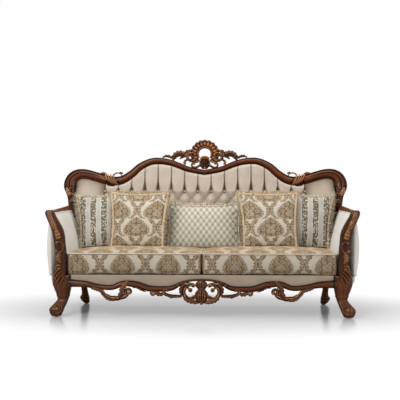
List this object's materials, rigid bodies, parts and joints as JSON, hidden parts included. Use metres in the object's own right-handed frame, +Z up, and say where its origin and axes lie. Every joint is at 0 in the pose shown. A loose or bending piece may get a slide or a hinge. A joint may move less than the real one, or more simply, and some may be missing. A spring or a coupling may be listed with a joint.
{
  "type": "sofa",
  "caption": "Carved rococo three-seat sofa: serpentine show-wood back with pierced shell crest, deep-buttoned back pad, loose seat cushions and throw pillows, cabriole legs",
  "frame": {"origin": "centre of the bounding box in plan, on the floor", "axes": "+X towards the viewer's right along the seat, -Y towards the sitter's feet (the front), +Z up"},
  "size_m": [2.3256, 0.8656, 1.3284],
  "materials": {
    "apron_cartouche": "carved walnut, rubbed with gilt bronze on the high spots",
    "apron_rail_left": "glossy dark walnut lacquer with gilt-bronze highlights",
    "apron_rail_right": "glossy dark walnut lacquer with gilt-bronze highlights",
    "arm_board_left": "bare frame wood",
    "arm_board_right": "bare frame wood",
    "arm_post_left": "carved walnut, rubbed with gilt bronze on the high spots",
    "arm_post_right": "carved walnut, rubbed with gilt bronze on the high spots",
    "arm_rail_left": "glossy dark walnut lacquer with gilt-bronze highlights",
    "arm_rail_right": "glossy dark walnut lacquer with gilt-bronze highlights",
    "back_lower_rail": "bare frame wood",
    "back_pad_end_left": "taupe-cream satin weave, deep buttoned in the middle",
    "back_pad_end_right": "taupe-cream satin weave, deep buttoned in the middle",
    "back_pad_tufted": "taupe-cream satin weave, deep buttoned in the middle",
    "back_post_left": "glossy dark walnut lacquer with gilt-bronze highlights",
    "back_post_right": "glossy dark walnut lacquer with gilt-bronze highlights",
    "back_shoulder_left": "glossy dark walnut lacquer with gilt-bronze highlights",
    "back_shoulder_right": "glossy dark walnut lacquer with gilt-bronze highlights",
    "back_upright_left": "bare frame wood",
    "back_upright_right": "bare frame wood",
    "crest_cartouche": "carved walnut, rubbed with gilt bronze on the high spots",
    "cross_bearer_left": "bare frame wood",
    "cross_bearer_right": "bare frame wood",
    "dust_cover": "black lining cloth",
    "front_band": "taupe weave",
    "front_corner_block_left": "bare frame wood",
    "front_corner_block_right": "bare frame wood",
    "front_glide_left": "dark nylon",
    "front_glide_right": "dark nylon",
    "front_leg_left": "glossy dark walnut lacquer with gilt-bronze highlights",
    "front_leg_right": "glossy dark walnut lacquer with gilt-bronze highlights",
    "inner_arm_pad_left": "cream-white satin weave",
    "inner_arm_pad_right": "cream-white satin weave",
    "outer_side_panel_left": "cream-white satin weave",
    "outer_side_panel_right": "cream-white satin weave",
    "outside_back": "taupe-cream weave, plain",
    "pillow_damask_left": "cream damask with brush fringe",
    "pillow_damask_right": "cream damask with brush fringe",
    "pillow_lumbar": "silver-cream lattice",
    "pillow_striped_left": "silver and patterned stripes",
    "pillow_striped_right": "silver and patterned stripes",
    "rear_corner_block_left": "bare frame wood",
    "rear_corner_block_right": "bare frame wood",
    "rear_glide_left": "dark nylon",
    "rear_glide_right": "dark nylon",
    "rear_leg_left": "glossy dark walnut lacquer with gilt-bronze highlights",
    "rear_leg_right": "glossy dark walnut lacquer with gilt-bronze highlights",
    "seat_cushion_left": "gold-brown damask, piped",
    "seat_cushion_right": "gold-brown damask, piped",
    "seat_deck": "black lining cloth",
    "seat_rail_back": "bare frame wood",
    "seat_rail_front": "bare frame wood",
    "seat_spring_1": "plain wire",
    "seat_spring_2": "plain wire",
    "seat_spring_3": "plain wire",
    "seat_spring_4": "plain wire",
    "side_rail_left": "glossy dark walnut lacquer with gilt-bronze highlights",
    "side_rail_right": "glossy dark walnut lacquer with gilt-bronze highlights",
    "top_rail": "glossy dark walnut lacquer with gilt-bronze highlights",
    "valley_wrap_left": "carved walnut, rubbed with gilt bronze on the high spots",
    "valley_wrap_right": "carved walnut, rubbed with gilt bronze on the high spots"
  },
  "bodies": {
    "frame": {"apron_cartouche": "apron_cartouche", "apron_rail_left": "apron_rail_left", "apron_rail_right": "apron_rail_right", "arm_board_left": "arm_board_left", "arm_board_right": "arm_board_right", "arm_post_left": "arm_post_left", "arm_post_right": "arm_post_right", "arm_rail_left": "arm_rail_left", "arm_rail_right": "arm_rail_right", "back_lower_rail": "back_lower_rail", "back_pad_end_left": "back_pad_end_left", "back_pad_end_right": "back_pad_end_right", "back_pad_tufted": "back_pad_tufted", "back_post_left": "back_post_left", "back_post_right": "back_post_right", "back_shoulder_left": "back_shoulder_left", "back_shoulder_right": "back_shoulder_right", "back_upright_left": "back_upright_left", "back_upright_right": "back_upright_right", "crest_cartouche": "crest_cartouche", "cross_bearer_left": "cross_bearer_left", "cross_bearer_right": "cross_bearer_right", "dust_cover": "dust_cover", "front_band": "front_band", "front_corner_block_left": "front_corner_block_left", "front_corner_block_right": "front_corner_block_right", "front_glide_left": "front_glide_left", "front_glide_right": "front_glide_right", "front_leg_left": "front_leg_left", "front_leg_right": "front_leg_right", "inner_arm_pad_left": "inner_arm_pad_left", "inner_arm_pad_right": "inner_arm_pad_right", "outer_side_panel_left": "outer_side_panel_left", "outer_side_panel_right": "outer_side_panel_right", "outside_back": "outside_back", "rear_corner_block_left": "rear_corner_block_left", "rear_corner_block_right": "rear_corner_block_right", "rear_glide_left": "rear_glide_left", "rear_glide_right": "rear_glide_right", "rear_leg_left": "rear_leg_left", "rear_leg_right": "rear_leg_right", "seat_deck": "seat_deck", "seat_rail_back": "seat_rail_back", "seat_rail_front": "seat_rail_front", "seat_spring_1": "seat_spring_1", "seat_spring_2": "seat_spring_2", "seat_spring_3": "seat_spring_3", "seat_spring_4": "seat_spring_4", "side_rail_left": "side_rail_left", "side_rail_right": "side_rail_right", "top_rail": "top_rail", "valley_wrap_left": "valley_wrap_left", "valley_wrap_right": "valley_wrap_right"},
    "seat_cushion_left_body": {"seat_cushion_left": "seat_cushion_left"},
    "seat_cushion_right_body": {"seat_cushion_right": "seat_cushion_right"},
    "pillow_striped_left_body": {"pillow_striped_left": "pillow_striped_left"},
    "pillow_striped_right_body": {"pillow_striped_right": "pillow_striped_right"},
    "pillow_damask_left_body": {"pillow_damask_left": "pillow_damask_left"},
    "pillow_damask_right_body": {"pillow_damask_right": "pillow_damask_right"},
    "pillow_lumbar_body": {"pillow_lumbar": "pillow_lumbar"}
  },
  "joints": [
    {"name": "seat_cushion_left_pull", "type": "slide", "parent": "frame", "child": "seat_cushion_left_body", "axis": [0, -1, 0], "range_m": [0, 0.62]},
    {"name": "seat_cushion_right_pull", "type": "slide", "parent": "frame", "child": "seat_cushion_right_body", "axis": [0, -1, 0], "range_m": [0, 0.62]},
    {"name": "pillow_striped_left_lift", "type": "slide", "parent": "frame", "child": "pillow_striped_left_body", "axis": [0, 0.1908, 0.9816], "range_m": [0, 0.44]},
    {"name": "pillow_striped_right_lift", "type": "slide", "parent": "frame", "child": "pillow_striped_right_body", "axis": [0, 0.1908, 0.9816], "range_m": [0, 0.44]},
    {"name": "pillow_damask_left_lift", "type": "slide", "parent": "frame", "child": "pillow_damask_left_body", "axis": [0, -0.3489, 0.9371], "range_m": [0, 0.45]},
    {"name": "pillow_damask_right_lift", "type": "slide", "parent": "frame", "child": "pillow_damask_right_body", "axis": [0, -0.3489, 0.9371], "range_m": [0, 0.45]},
    {"name": "pillow_lumbar_lift", "type": "slide", "parent": "frame", "child": "pillow_lumbar_body", "axis": [0, -0.3489, 0.9371], "range_m": [0, 0.45]}
  ]
}
